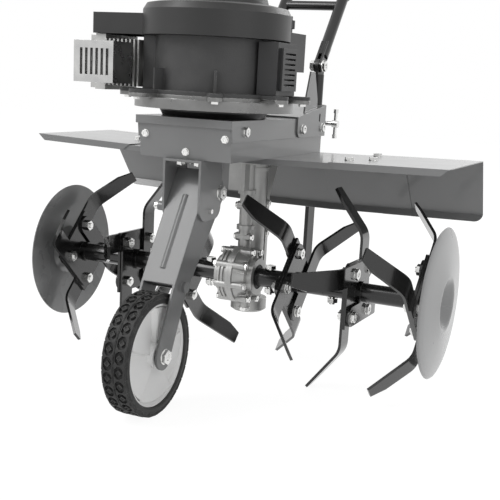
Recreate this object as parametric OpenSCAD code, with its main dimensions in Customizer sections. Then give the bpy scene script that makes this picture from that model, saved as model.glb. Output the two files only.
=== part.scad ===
/* [Stance] */
// Height of the tine axle above the ground
axle_h = 176; // [172:1:180]
// Distance from the tine axle forward to the front wheel
wheel_reach = 327; // [320:1:332]
// Distance from the tine axle forward to the crankshaft
engine_ahead = 136; // [132:1:138]
// Distance from the tine axle back to the depth bar
drag_back = 333; // [325:1:345]

/* [Belt case] */
// Width of the belt case
tray_w = 172; // [170:1:180]
// Reach of the belt case ahead of the axle
tray_front = 237; // [235:1:240]
// Reach of the belt case behind the axle
tray_rear = 157; // [155:1:160]
// Height of the underside of the belt case above the axle
case_floor = 226; // [224:1:230]
// Height of the belt case
case_h = 66; // [64:1:68]
// Depth of the folded sides of the upper tray
tray_skirt = 34; // [30:1:38]
// Depth of the folded front lip of the upper tray
tray_lip = 13; // [11:1:15]
// Distance that the front panel leans back at its foot
front_lean = 9; // [6:1:10]
// Thickness of the case sheet
sheet = 2.5; // [2:0.5:3]

/* [Guard] */
// Half width over both guard extensions
guard_half = 396; // [390:1:405]
// Reach of the guard ahead of the axle
guard_front = 89; // [84:1:96]
// Reach of the flat top of the guard behind the axle
guard_back = 158; // [154:1:162]
// Half width of the fixed middle guard
guard_mid_half = 250; // [240:1:260]
// Distance from the middle to the inner end of an extension
ext_start = 193; // [188:1:198]
// Thickness of the guard sheet
guard_sheet = 1.6; // [1.2:0.2:2]
// Depth of the folded front lip
guard_lip = 10; // [8:1:13]
// Height of the sloping rear skirt
skirt_drop = 104; // [98:1:108]
// Lean of the rear skirt from upright, in degrees
skirt_lean = 36; // [32:1:38]
// Width of the bottom strip folded forward
hem_w = 14; // [10:1:18]
// Rise of each guard wing toward its end, in degrees
guard_rise = 1.4; // [1:0.1:2]

/* [Rotor] */
// Distance from the middle to the rim of a side disc
disc_x = 385; // [384:1:388]
// Radius of the side discs
disc_r = 131; // [125:1:140]
// Distance from the middle to the inner tine flange
inner_star_x = 110; // [108:1:114]
// Distance from the middle to the middle tine flange
mid_star_x = 231; // [228:1:234]
// Distance from the middle to the outer tine flange
outer_star_x = 352; // [350:1:354]
// Outer diameter of the axle tubes
tube_d = 34; // [32:1:36]
// Diameter of the output shaft
shaft_d = 25; // [24:1:26]
// Side length of the square tine flanges
flange_side = 116; // [112:1:120]
// Thickness of the tine flanges
flange_t = 5; // [4:0.5:6]
// Offset of the tine bolts from the two middle lines of a flange
bolt_off = 38; // [37:0.5:40]

/* [Tines] */
// Width of a tine at its bolts
tine_base_w = 36; // [34:1:38]
// Width of a tine at its tip
tine_tip_w = 30; // [26:1:34]
// Thickness of a tine
tine_t = 5; // [4:0.5:5]
// Sideways bend of a tine, in degrees
tine_bend = 38; // [34:1:40]
// Radius from the axle where the bend starts
tine_knee = 86; // [84:1:96]
// Inner radius of the bend
tine_bend_r = 36; // [30:1:40]

/* [Gearbox] */
// Teeth of the worm wheel
wheel_teeth = 20; // [20:1:20]
// Tooth size of the worm gear, pitch diameter over teeth
gear_module = 3.3; // [3.2:0.1:3.4]
// Pitch radius of the worm
worm_pitch_r = 10; // [10:0.5:10.5]
// Radius of the gear drum
drum_r = 52; // [51:1:54]
// Half width of the gear drum
drum_half = 26; // [25:0.5:28]
// Radius of the upright column
column_r = 23; // [22:0.5:25]
// Half width of the seam flange of the column
spine_half = 12.5; // [11:0.5:14]

/* [Belt drive] */
// Groove radius of the engine pulley
drive_groove_r = 22; // [20:1:24]
// Groove radius of the gearbox pulley
input_groove_r = 38; // [36:1:40]
// Width of the belt
belt_w = 10; // [9:0.5:11]
// Radius of the tension roller
idler_r = 14; // [12:1:15]

/* [Front wheel] */
// Diameter of the tyre
tyre_d = 200; // [194:1:204]
// Width of the tyre
tyre_w = 44; // [40:1:46]
// Height of the tyre over its rim
tyre_wall = 17; // [15:1:20]
// Distance from the axle forward to the pivot of the wheel arm
arm_pivot_y = 168; // [166:1:172]
// Height of the pivot of the wheel arm above the axle
arm_pivot_z = 170; // [168:1:172]
// Width inside the wheel bracket
bracket_in = 62; // [60:1:64]
// Travel of the wheel arm in its slot, in degrees
arm_travel = 14; // [10:1:14]

/* [Handlebar] */
// Diameter of the handlebar tubes
bar_d = 22; // [20:1:24]
// Distance from the middle to each handlebar tube at its foot
bar_foot_x = 60; // [58:1:62]
// Height of the handlebar pivot above the belt case
bar_pivot_h = 96; // [90:1:110]
// Slope of the handlebar above level, in degrees
bar_slope = 52; // [45:1:55]
// Straight length from the pivot to the spread
bar_low = 170; // [150:1:190]
// Length of the spreading part
bar_spread = 270; // [240:1:290]
// Spread of each tube sideways, in degrees
bar_splay = 35; // [30:1:38]
// Length of a hand grip
grip_len = 120; // [110:1:130]

/* [Hidden] */
$fn = 48;
gap = 0.3;
run = 0.05;
hole = 0.3;
case_top = case_floor + case_h;
half = tray_w / 2;
cover_half = half - sheet - gap;
ec = -engine_ahead;
wheel_pitch_r = wheel_teeth * gear_module / 2;
worm_y = wheel_pitch_r + worm_pitch_r;
worm_lead = PI * gear_module;
worm_amp = 2;
worm_r = worm_pitch_r + worm_amp;
cavity_r = 40;
seat_r = 26;
seat_in = 15;
seat_out = 27;
boss_out = 38;
flange_z = case_floor - guard_sheet;
ring_top = case_top + 13;
sump_top = ring_top + 16;
belt_z = case_floor + 26;
pulley_lo = belt_z - 11;
pulley_hi = belt_z + 11;
rim_d = tyre_d - 2 * tyre_wall;
wheel_c = [0, -wheel_reach, tyre_d / 2 - axle_h];
br_in = bracket_in / 2;
br_t = 4;
arm_half = br_in - gap;
arm_t = 4;
pivot = [0, -arm_pivot_y, arm_pivot_z];
lock_r = 45;
lock_a = 217;
lock_y = pivot.y + lock_r * cos(lock_a);
lock_z = pivot.z + lock_r * sin(lock_a);
bar_piv = [0, tray_rear + 21, case_top + bar_pivot_h];
bar_r = bar_d / 2;
grip_at = bar_low + bar_spread * cos(bar_splay);
grip_x = bar_foot_x + bar_spread * sin(bar_splay);
grip_slope = 16;
grip_run = 225;
rear_end = bar_piv.y + grip_at * cos(bar_slope) + (grip_run + 5) * cos(grip_slope)
    + (bar_r + 5) * sin(grip_slope);
shift_y = -(rear_end - wheel_reach - tyre_d / 2) / 2;

module seat() translate([0, shift_y, axle_h]) children();
module yz(x0, t) translate([x0, 0, 0]) rotate([90, 0, 90]) linear_extrude(t) children();
module xz(y0, t) translate([0, y0 + t, 0]) rotate([90, 0, 0]) linear_extrude(t) children();
module xcyl(r, x0, x1, y = 0, z = 0)
    translate([x0, y, z]) rotate([0, 90, 0]) cylinder(r = r, h = x1 - x0);
module ycyl(r, y0, y1, x = 0, z = 0)
    translate([x, y0, z]) rotate([-90, 0, 0]) cylinder(r = r, h = y1 - y0);
module zcyl(r, z0, z1, x = 0, y = 0)
    translate([x, y, z0]) cylinder(r = r, h = z1 - z0);
module pair() { children(); mirror([1, 0, 0]) children(); }
// A hexagon bolt with its bearing face at the origin and its shank going down
module bolt(d, len, nut_at = 0) {
    difference() {
        cylinder(d = d * 1.75 / cos(30), h = d * 0.65, $fn = 6);
        translate([0, 0, d * 0.5]) cylinder(d = d * 0.9, h = d);
    }
    cylinder(d = d * 2.1, h = d * 0.14);
    translate([0, 0, -len]) cylinder(d = d, h = len + 0.1);
    if (nut_at > 0) translate([0, 0, -nut_at - d * 0.8])
        cylinder(d = d * 1.75 / cos(30), h = d * 0.8, $fn = 6);
}
module bolt_x(x, y, z, d, len, nut_at = 0, side = 1)
    translate([x, y, z]) rotate([0, 90 * side, 0]) bolt(d, len, nut_at);
module bolt_y(x, y, z, d, len, nut_at = 0, side = 1)
    translate([x, y, z]) rotate([-90 * side, 0, 0]) bolt(d, len, nut_at);
// A round bar or its hollow core through a list of points
module run_through(pts, r) {
    for (i = [0 : len(pts) - 2]) {
        v = pts[i + 1] - pts[i];
        translate(pts[i]) rotate([0, acos(v.z / norm(v)), atan2(v.y, v.x)])
            cylinder(r = r, h = norm(v));
    }
    for (i = [1 : 1 : len(pts) - 2]) translate(pts[i]) sphere(r = r + 0.3);
}
// Corner points of a folded line moved sideways by a set distance
function unit(v) = v / norm(v);
function left_of(v) = [-v.y, v.x];
function moved(p, t) = [for (i = [0 : len(p) - 1])
    let(a = i == 0 ? unit(p[1] - p[0]) : unit(p[i] - p[i - 1]),
        b = i == len(p) - 1 ? a : unit(p[i + 1] - p[i]),
        n = unit(left_of(a) + left_of(b)))
    p[i] + n * t / (n * left_of(a))];
function turned(p) = [for (i = [len(p) - 1 : -1 : 0]) p[i]];
module strip_2d(p, t0, t1) polygon(concat(moved(p, t0), turned(moved(p, t1))));

// belt case
function panel_y(z) = -tray_front + front_lean * (case_top - z) / case_h;
front_bolts = [[-72, case_floor + 37], [73.5, case_floor + 37], [2, case_floor + 12]];
engine_bolt_pcd = 150;
engine_bolt_a = [45, 135, 225, 315];
gear_bolts = [[-28, -8], [28, -8], [-28, 112], [28, 112]];
side_bolts = [[-187, case_top - 18], [44, case_top - 19], [140, case_top - 18]];
plate_bolts = [[-28, case_top - 14], [28, case_top - 14], [-45, case_top - 14],
    [45, case_top - 14]];
function plate_bolt_d(b) = abs(b.x) < 40 ? 8 : 6;
module upper_tray() color([0.55, 0.55, 0.52]) seat() difference() {
    union() {
        translate([-half, -tray_front, case_top - sheet]) cube([tray_w, tray_front + tray_rear, sheet]);
        pair() yz(half - sheet, sheet) polygon([
            [-tray_front, case_top], [tray_rear, case_top], [tray_rear, case_top - tray_skirt],
            [panel_y(case_top - tray_skirt), case_top - tray_skirt]]);
        translate([-half - 1.5, -tray_front - sheet, case_top - tray_lip])
            cube([tray_w + 3, sheet, tray_lip]);
        translate([-half, -tray_front - sheet, case_top - sheet]) cube([tray_w, sheet + 1, sheet]);
        translate([-half, tray_rear - sheet, case_top - tray_skirt]) cube([tray_w, sheet, tray_skirt]);
    }
    zcyl(34, case_top - 5, case_top + 5, 0, ec);
    for (a = engine_bolt_a) zcyl(4 + hole, case_top - 5, case_top + 5,
        engine_bolt_pcd / 2 * cos(a), ec + engine_bolt_pcd / 2 * sin(a));
    for (b = side_bolts) xcyl(4 + hole, -half - 5, half + 5, b.x, b.y);
    for (b = plate_bolts) ycyl(plate_bolt_d(b) / 2 + hole, tray_rear - 8, tray_rear + 5, b.x, b.y);
}
module belt_cover() color([0.52, 0.52, 0.5]) seat() difference() {
    union() {
        translate([-cover_half, panel_y(case_floor), case_floor])
            cube([2 * cover_half, tray_rear - sheet - gap - panel_y(case_floor), sheet]);
        pair() yz(cover_half - sheet, sheet) polygon([
            [panel_y(case_floor), case_floor], [tray_rear - sheet - gap, case_floor],
            [tray_rear - sheet - gap, case_top - 22], [panel_y(case_top - 22), case_top - 22]]);
        yz(-cover_half, 2 * cover_half) polygon([
            [panel_y(case_floor), case_floor], [panel_y(case_top - sheet), case_top - sheet],
            [panel_y(case_top - sheet) + sheet, case_top - sheet],
            [panel_y(case_floor) + sheet, case_floor]]);
        translate([-cover_half, tray_rear - 2 * sheet - gap, case_floor])
            cube([2 * cover_half, sheet, case_h - 22]);
    }
    zcyl(20, case_floor - 5, case_floor + 8, 0, worm_y);
    for (b = gear_bolts) zcyl(4 + hole, case_floor - 5, case_floor + 5, b.x, b.y);
    for (b = front_bolts) translate([b.x, panel_y(b.y), b.y])
        rotate([90 + atan(front_lean / case_h), 0, 0]) cylinder(r = 3 + hole, h = 30, center = true);
    for (b = side_bolts) xcyl(4 + hole, -half - 5, half + 5, b.x, b.y);
    for (b = plate_bolts) ycyl(plate_bolt_d(b) / 2 + hole, tray_rear - 12, tray_rear + 5, b.x, b.y);
    zcyl(4 + hole, case_floor - 5, case_floor + 5, idler_pivot.x, idler_pivot.y);
    for (b = bracket_bolts) zcyl(4 + hole, case_floor - 5, case_floor + 5, b.x, b.y);
    for (b = guard_mid_bolts) zcyl(4 + hole, case_floor - 5, case_floor + 5, b.x, b.y);
}
bracket_bolts = [[-16, -212], [16, -212], [-16, -180], [16, -180]];
guard_mid_bolts = [[-62, -60], [62, -60], [-62, 130], [62, 130]];
idler_pivot = [-half + 20, 8];
module case_bolts() color([0.75, 0.75, 0.7]) seat() {
    for (b = front_bolts) translate([b.x, panel_y(b.y), b.y])
        rotate([90 + atan(front_lean / case_h), 0, 0]) bolt(6, 9, sheet);
    for (b = side_bolts) {
        side_x = b.x > 0 ? half + 3 : half;
        pair() bolt_x(side_x, b.x, b.y, 8, 14 + side_x - half, side_x - half + 2 * sheet + gap);
    }
    for (b = gear_bolts) translate([b.x, b.y, case_floor + sheet]) bolt(8, 18);
    for (b = bracket_bolts) translate([b.x, b.y, case_floor + sheet]) bolt(8, 14, sheet + br_t);
    for (b = guard_mid_bolts) translate([b.x, b.y, case_floor + sheet])
        bolt(8, 14, sheet + guard_sheet);
    zcyl(8, case_floor + sheet, case_floor + 9, idler_pivot.x, idler_pivot.y);
    zcyl(4, case_floor - 2, case_floor + 16, idler_pivot.x, idler_pivot.y);
    zcyl(7, case_floor + 13 + 2 * gap, case_floor + 18, idler_pivot.x, idler_pivot.y);
    translate([idler_pivot.x, idler_pivot.y, case_floor - guard_sheet - 6])
        cylinder(d = 14 / cos(30), h = 6, $fn = 6);
    zcyl(4, case_floor - 6, case_floor + 1, idler_pivot.x, idler_pivot.y);
}
module engine_mount_ring() color([0.08, 0.08, 0.08]) seat() difference() {
    translate([0, ec, case_top]) rotate_extrude() polygon([
        [52, 0], [85, 0], [90, 9], [90, 13], [52, 13]]);
    for (a = engine_bolt_a) zcyl(4 + hole, case_top - 5, ring_top + 5,
        engine_bolt_pcd / 2 * cos(a), ec + engine_bolt_pcd / 2 * sin(a));
}
// rear bracket and handlebar carrier
rb_slope = 8.6;
rb_front = 22;
function rb_z(y) = case_top + 3 + tan(rb_slope) * (y - rb_front);
module rear_bracket() color([0.56, 0.56, 0.53]) seat() difference() {
    union() {
        pair() {
            yz(half, 3) {
                polygon([[rb_front, rb_z(rb_front)], [tray_rear, rb_z(tray_rear)],
                    [tray_rear, case_floor + 32], [rb_front + 14, case_floor + 32],
                    [rb_front, case_floor + 46]]);
                translate([rb_front + 14, case_floor + 46]) circle(14);
            }
            yz(bar_foot_x + 17, 3) polygon([[72, rb_z(72) - 1], [132, rb_z(132) - 1],
                [132, rb_z(132) + 14], [112, case_top + 84], [92, case_top + 84],
                [76, rb_z(76) + 26]]);
        }
        yz(-half - 3, tray_w + 6) polygon([[rb_front, rb_z(rb_front)],
            [tray_rear, rb_z(tray_rear)], [tray_rear, rb_z(tray_rear) - 3],
            [rb_front, rb_z(rb_front) - 3]]);
    }
    for (b = side_bolts) xcyl(4 + hole, -half - 5, half + 5, b.x, b.y);
    pair() yz(half - 1, 6) translate([126, case_top + 5]) {
        circle(3.2);
        translate([-3.2, -9]) square([6.4, 9]);
        translate([0, -9]) circle(3.2);
    }
}
module handle_posts() color([0.06, 0.06, 0.06]) seat() difference() {
    union() {
        translate([-half, tray_rear, case_top - 30]) cube([tray_w, 4, 54]);
        pair() {
            translate([bar_foot_x - 6, tray_rear + 3, case_top - 30])
                cube([12, bar_piv.y - bar_r + 2 - tray_rear - 3, 54]);
            zcyl(bar_r, case_top - 34, bar_piv.z - 16, bar_foot_x, bar_piv.y);
            yz(bar_foot_x - 3, 6) {
                translate([bar_piv.y, bar_piv.z]) circle(13);
                translate([bar_piv.y - 10, bar_piv.z - 24]) square([20, 24]);
            }
        }
    }
    pair() {
        zcyl(bar_r - 2, case_top - 40, bar_piv.z - 30, bar_foot_x, bar_piv.y);
        xcyl(5 + run, bar_foot_x - 9, bar_foot_x + 9, bar_piv.y, bar_piv.z);
    }
    for (b = plate_bolts) ycyl(plate_bolt_d(b) / 2 + hole, tray_rear - 8, tray_rear + 25, b.x, b.y);
}
module handle_bolts() color([0.75, 0.75, 0.7]) seat() {
    pair() bolt_x(bar_foot_x + 8, bar_piv.y, bar_piv.z, 10, 24, 16);
    for (b = plate_bolts) {
        y = abs(b.x) < 40 ? 9 : 4;
        bolt_y(b.x, tray_rear + y, b.y, plate_bolt_d(b), y + 14, y + 2 * sheet + gap);
    }
}
// depth bar
bar_x = 8;
bar_y = 35;
sl = 0.04;
module drag_bracket() color([0.08, 0.08, 0.08]) seat() difference() {
    union() {
        translate([-37, tray_rear + 4, case_top - 28]) cube([74, 5, 48]);
        pair() yz(7, 4) polygon([[tray_rear + 9, case_top - 26], [drag_back, case_top - 44],
            [drag_back, case_top + 4], [tray_rear + 9, case_top + 18]]);
        translate([-11, drag_back - bar_y / 2 - 7, case_top - 44]) cube([22, bar_y + 14, 52]);
        xcyl(9, 10, 18, drag_back, case_top - 18);
    }
    translate([-bar_x / 2 - sl, drag_back - bar_y / 2 - sl, case_top - 50])
        cube([bar_x + 2 * sl, bar_y + 2 * sl, 70]);
    xcyl(5, 3, 30, drag_back, case_top - 18);
    for (b = plate_bolts) ycyl(plate_bolt_d(b) / 2 + hole, tray_rear, tray_rear + 25, b.x, b.y);
}
module drag_bar() color([0.3, 0.3, 0.3]) seat() yz(-bar_x / 2, bar_x) difference() {
    union() {
        translate([drag_back - bar_y / 2, -32]) square([bar_y, case_top + 132]);
        polygon([[drag_back - bar_y / 2, -31], [drag_back - bar_y / 2, -32],
            [drag_back - 6, -56], [drag_back + 6, -56], [drag_back + bar_y / 2, -32],
            [drag_back + bar_y / 2, -31]]);
    }
    for (z = [40, 80]) translate([drag_back, case_top + z]) circle(5);
}
module drag_screw() color([0.75, 0.75, 0.7]) seat() {
    xcyl(5, bar_x / 2 + gap, 40, drag_back, case_top - 18);
    xcyl(8, 38, 50, drag_back, case_top - 18);
    zcyl(3.5, case_top - 46, case_top + 10, 44, drag_back);
    pair_z(case_top - 18) zcyl(5, case_top + 4, case_top + 12, 44, drag_back);
}
module pair_z(z) { children(); translate([0, 0, 2 * z]) mirror([0, 0, 1]) children(); }
// tine guard
sk = [guard_back + skirt_drop * tan(skirt_lean), -skirt_drop];
guard_line = [[-guard_front, -guard_lip], [-guard_front, 0], [guard_back, 0], sk,
    sk + [-hem_w * sin(22), -hem_w * cos(22)]];
module wing(side) translate([side * half, 0, case_floor]) rotate([0, -side * guard_rise, 0])
    translate([-side * half, 0, 0]) children();
module tine_guard() color([0.55, 0.55, 0.52]) seat() difference() {
    union() {
        translate([0, 0, case_floor]) yz(-half, tray_w) strip_2d(guard_line, 0, -guard_sheet);
        for (s = [-1, 1]) wing(s) difference() {
            yz(s > 0 ? half - 0.2 : -guard_mid_half, guard_mid_half - half + 0.2)
                strip_2d(guard_line, 0, -guard_sheet);
            for (p = ext_bolts) zcyl(4 + hole, -5, 5, s * p.x, p.y);
        }
    }
    zcyl(20, case_floor - 5, case_floor + 8, 0, worm_y);
    for (b = gear_bolts) zcyl(4 + hole, case_floor - 5, case_floor + 5, b.x, b.y);
    for (b = guard_mid_bolts) zcyl(4 + hole, case_floor - 5, case_floor + 5, b.x, b.y);
    zcyl(4 + hole, case_floor - 5, case_floor + 5, idler_pivot.x, idler_pivot.y);
}
ext_bolts = [[206, -21], [210, 122], [238, 13]];
hem_z = -skirt_drop - hem_w * cos(22);
module extension(s) wing(s) difference() {
    yz(s > 0 ? ext_start : -guard_half, guard_half - ext_start)
        strip_2d(guard_line, 0.02, guard_sheet);
    for (p = ext_bolts) zcyl(4 + hole, -5, 5, s * p.x, p.y);
    // slanted ends of the front lip
    xz(-guard_front - 20, 40) scale([s, 1]) {
        polygon([[guard_half - 17, -guard_lip - 3], [guard_half + 9, -guard_lip - 3],
            [guard_half + 9, 1], [guard_half - 0.1, 1]]);
        polygon([[ext_start - 3, -guard_lip - 3], [ext_start + 17, -guard_lip - 3],
            [ext_start + 0.1, 1], [ext_start - 3, 1]]);
    }
    // slanted end and rounded corner of the rear skirt
    xz(guard_back + 2, 100) scale([s, 1]) difference() {
        polygon([[guard_half, -2], [guard_half + 2, -2], [guard_half + 2, hem_z - 5],
            [guard_half - 22, hem_z - 5], [guard_half - 22, hem_z + 13],
            [guard_half - 8, hem_z + 13]]);
        translate([guard_half - 22, hem_z + 14]) circle(14);
    }
}
module guard_extension_left() color([0.55, 0.55, 0.52]) seat() extension(-1);
module guard_extension_right() color([0.55, 0.55, 0.52]) seat() extension(1);
module guard_bolts() color([0.75, 0.75, 0.7]) seat() for (s = [-1, 1]) wing(s)
    for (p = ext_bolts) translate([s * p.x, p.y, guard_sheet]) bolt(8, 13, 2 * guard_sheet);
// front wheel carrier
module wheel_bracket() color([0.55, 0.55, 0.52]) seat() difference() {
    union() {
        translate([-br_in - br_t, -tray_front, case_floor - br_t])
            cube([bracket_in + 2 * br_t, tray_front - 163, br_t]);
        pair() yz(br_in, br_t) {
            polygon([[-tray_front, case_floor], [-163, case_floor], [-163, 148],
                [-182, 129], [-212, 127], [-tray_front, 150]]);
            translate([-184, 149]) circle(21);
            translate([-214, 150]) circle(23);
        }
        // sleeve of the lock pin
        xcyl(8, -br_in - br_t - 24, -br_in - br_t + 0.1, lock_y, lock_z);
    }
    for (b = bracket_bolts) zcyl(4 + hole, case_floor - 9, case_floor + 5, b.x, b.y);
    xcyl(6 + hole, -50, 50, pivot.y, pivot.z);
    xcyl(4 + run, -br_in - br_t - 30, br_in + br_t + 3, lock_y, lock_z);
}
module arm_pivot_bolt() color([0.75, 0.75, 0.7]) seat()
    bolt_x(br_in + br_t, pivot.y, pivot.z, 12, bracket_in + 2 * br_t + 12, bracket_in + 2 * br_t);
hub_yz = [wheel_c.y, wheel_c.z];
arm_top = [pivot.y - 28, pivot.z + 39];
arm_cut = hub_yz + (tyre_d / 2 + 14.1) * [cos(76.6), sin(76.6)];
arm_d = unit(arm_cut - arm_top);
arm_n = left_of(arm_d);
arm_deep = 43;
bead_r = 6;
bead_in = 3.4;
arm_tie = arm_cut + arm_n * 29 - arm_d * 8;
module arm_side() difference() {
    union() {
        polygon([arm_top, arm_cut, hub_yz + [-21, 8], hub_yz, hub_yz + [21, -4],
            arm_cut + arm_n * arm_deep, [pivot.y + 21, pivot.z - 12], [pivot.y + 10, pivot.z + 21]]);
        translate(hub_yz) circle(22);
        translate([pivot.y, pivot.z]) circle(24);
    }
    translate([pivot.y, pivot.z]) circle(6 + run);
    translate(hub_yz) circle(6 + run);
    for (a = [0 : 2 : arm_travel]) translate([pivot.y + lock_r * cos(lock_a - a),
        pivot.z + lock_r * sin(lock_a - a)]) circle(4 + gap);
}
module wheel_arm() color([0.55, 0.55, 0.52]) seat() {
    pair() yz(arm_half - arm_t, arm_t) arm_side();
    yz(-arm_half, 2 * arm_half) polygon([arm_top, arm_cut, arm_cut + arm_n * arm_t,
        arm_top + arm_n * arm_t]);
    // rounded bead down the middle of the face
    intersection() {
        run_through([for (t = [48, 178]) let (p = arm_top + arm_d * t + arm_n * bead_in)
            [0, p.x, p.y]], bead_r);
        yz(-bead_r - 1, 2 * bead_r + 2) polygon([arm_top - arm_n * 9, arm_cut - arm_n * 9,
            arm_cut + arm_n, arm_top + arm_n]);
    }
    pair() xcyl(9, arm_half - 0.1, arm_half + 6, arm_tie.x, arm_tie.y);
    xcyl(5, -arm_half, arm_half, arm_tie.x, arm_tie.y);
}
module wheel_bush() color([0.1, 0.1, 0.1]) seat() difference() {
    union() {
        xcyl(9, -arm_half + arm_t, arm_half - arm_t, hub_yz.x, hub_yz.y);
        pair() xcyl(16, tyre_w / 2 + gap, arm_half - arm_t, hub_yz.x, hub_yz.y);
    }
    xcyl(6 + run, -50, 50, hub_yz.x, hub_yz.y);
}
module wheel_axle_bolt() color([0.75, 0.75, 0.7]) seat()
    bolt_x(arm_half, hub_yz.x, hub_yz.y, 12, 2 * arm_half + 12, 2 * arm_half);
module wheel_lock_pin() color([0.75, 0.75, 0.7]) seat() {
    head = -br_in - br_t - 24;
    xcyl(4, head - 8, br_in + br_t + 6, lock_y, lock_z);
    xcyl(7, head - 6, head, lock_y, lock_z);
    ycyl(1.4, lock_y - 12, lock_y + 14, head - 3, lock_z);
    translate([head - 3, lock_y + 19, lock_z]) rotate([0, 90, 0]) rotate_extrude()
        translate([6, 0]) circle(1.4);
}
module wheel_hub() color([0.92, 0.92, 0.9]) seat() translate(wheel_c) rotate([0, 90, 0])
difference() {
    rotate_extrude($fn = 96) polygon([[9 + run, -22], [19, -22], [22, -12], [24, -6], [66, -6],
        [70, -18.5], [rim_d / 2, -18.5], [rim_d / 2, 18.5], [70, 18.5], [66, 6], [24, 6],
        [22, 12], [19, 22], [9 + run, 22]]);
    for (k = [0 : 4], s = [-1, 1]) rotate(72 * k) {
        translate([45, 0, s * 5]) cylinder(r = 14, h = 5, center = true);
        translate([52, 14, s * 5]) cylinder(r = 8, h = 5, center = true);
    }
}
module tyre() color([0.05, 0.05, 0.05]) seat() translate(wheel_c) rotate([0, 90, 0])
difference() {
    rotate_extrude($fn = 96) polygon([[rim_d / 2, -18.5], [tyre_d / 2 - 12, -tyre_w / 2],
        [tyre_d / 2 - 4, -tyre_w / 2 + 1], [tyre_d / 2, -tyre_w / 2 + 7],
        [tyre_d / 2, tyre_w / 2 - 7], [tyre_d / 2 - 4, tyre_w / 2 - 1],
        [tyre_d / 2 - 12, tyre_w / 2], [rim_d / 2, 18.5]]);
    rotate_extrude($fn = 96) polygon([[tyre_d / 2 - 3, -1], [tyre_d / 2 + 1, -2],
        [tyre_d / 2 + 1, 2], [tyre_d / 2 - 3, 1]]);
}
// gearbox
drum_bolt_r = 47;
drain = [17, -10];
drum_bolt_a = [62, 105, 150, 195, 240, 286];
spine_bolts = [[8, 70], [78, 70], [8, 128], [78, 128]];
worm_top = flange_z - 24;
worm_low = -62;
web_half = 8;
module gearcase() difference() {
    union() {
        // stepped cover on the left, domed cover on the right, flange at the seam
        xcyl(drum_r - 5, -drum_half, 1);
        for (x = [-drum_half + 2, -drum_half + 9]) xcyl(drum_r - 2, x, x + 4);
        xcyl(drum_r + 1, -6, 6);
        rotate([0, 90, 0]) cylinder(r1 = drum_r - 1, r2 = drum_r - 13, h = drum_half);
        xcyl(34, -boss_out, boss_out);
        for (a = drum_bolt_a) rotate([a, 0, 0])
            xcyl(6.5, -drum_half - 2, drum_half + 2, drum_bolt_r);
        for (a = [15 : 30 : 345]) rotate([a, 0, 0])
            translate([-drum_half - 3, 33, -1.5]) cube([2 * drum_half + 6, 13, 3]);
        // column round the worm shaft, its foot and its head
        zcyl(column_r, worm_low - 6, flange_z - 4, 0, worm_y);
        zcyl(column_r + 3, worm_top - 8, worm_top - 2, 0, worm_y);
        zcyl(34, worm_low - 9, worm_low + 12, 0, worm_y);
        translate([0, worm_y, worm_low - 13]) cylinder(r1 = 28, r2 = 34, h = 4);
        // front tube with its collars, thin web and rear rib
        zcyl(spine_half, 40, flange_z - 4, 0, spine_half);
        for (z = [84, 150]) zcyl(spine_half + 4, z, z + 8, 0, spine_half);
        yz(-web_half, 2 * web_half) polygon([[spine_half, 40], [spine_half, flange_z],
            [86, flange_z], [86, -30], [43, -50]]);
        yz(-spine_half, 2 * spine_half) polygon([[77, -8], [77, flange_z], [88, flange_z],
            [88, -22]]);
        yz(-5, 10) polygon([[80, 110], [86, 106], [133, 190], [133, flange_z], [80, flange_z]]);
        for (b = spine_bolts) xcyl(8, -spine_half - 2, spine_half + 2, b.x, b.y);
        translate([-38, -20, flange_z - 17]) cube([76, 142, 17]);
        translate([-24, -18, 158]) cube([32, 30, flange_z - 160]);
        zcyl(9, -58, -40, drain[0], drain[1]);
    }
    xcyl(cavity_r, -14, 14);
    xcyl(seat_r, -seat_out, seat_out);
    xcyl(seat_r - 3, -boss_out - 1, boss_out + 1);
    zcyl(15, -50, 50, 0, worm_y);
    zcyl(11, worm_low - 4, flange_z + 1, 0, worm_y);
    zcyl(17, worm_low, worm_low + 12, 0, worm_y);
    zcyl(17, worm_top, worm_top + 12, 0, worm_y);
    zcyl(14, worm_top + 11, flange_z + 1, 0, worm_y);
    for (a = drum_bolt_a) rotate([a, 0, 0]) xcyl(3 + hole, -40, 40, drum_bolt_r);
    for (b = spine_bolts) xcyl(3 + hole, -40, 40, b.x, b.y);
    for (b = gear_bolts) zcyl(4, flange_z - 30, flange_z + 1, b.x, b.y);
    zcyl(5, -59, -46, drain[0], drain[1]);
}
module gearcase_left() color([0.7, 0.7, 0.7]) seat() intersection() {
    gearcase();
    translate([-60, -80, -100]) cube([60, 240, 340]);
}
module gearcase_right() color([0.7, 0.7, 0.7]) seat() intersection() {
    gearcase();
    translate([0, -80, -100]) cube([60, 240, 340]);
}
module gearcase_bolts() color([0.75, 0.75, 0.7]) seat() {
    for (a = drum_bolt_a) rotate([a, 0, 0])
        bolt_x(drum_half + 3, drum_bolt_r, 0, 6, 2 * drum_half + 12, 2 * drum_half + 6);
    for (b = spine_bolts) bolt_x(spine_half + 2, b.x, b.y, 6, 2 * spine_half + 10, 2 * spine_half + 4);
    // drain plug under the drum
    translate([drain[0], drain[1], -58]) rotate([180, 0, 0]) bolt(10, 10);
}
module worm_bearings() color([0.8, 0.8, 0.8]) seat() for (z = [worm_low, worm_top])
    translate([0, worm_y, z]) difference() {
        cylinder(r = 17, h = 12);
        translate([0, 0, -1]) cylinder(r = 7.5 + run, h = 14);
    }
module output_bearings() color([0.8, 0.8, 0.8]) seat() pair() difference() {
    xcyl(seat_r, seat_in, seat_out);
    xcyl(shaft_d / 2 + run, 0, 50);
}
module output_seals() color([0.06, 0.06, 0.06]) seat() pair() difference() {
    xcyl(seat_r - 3, seat_out + 2, boss_out - 1);
    xcyl(shaft_d / 2 + run, 0, 50);
}
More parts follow.
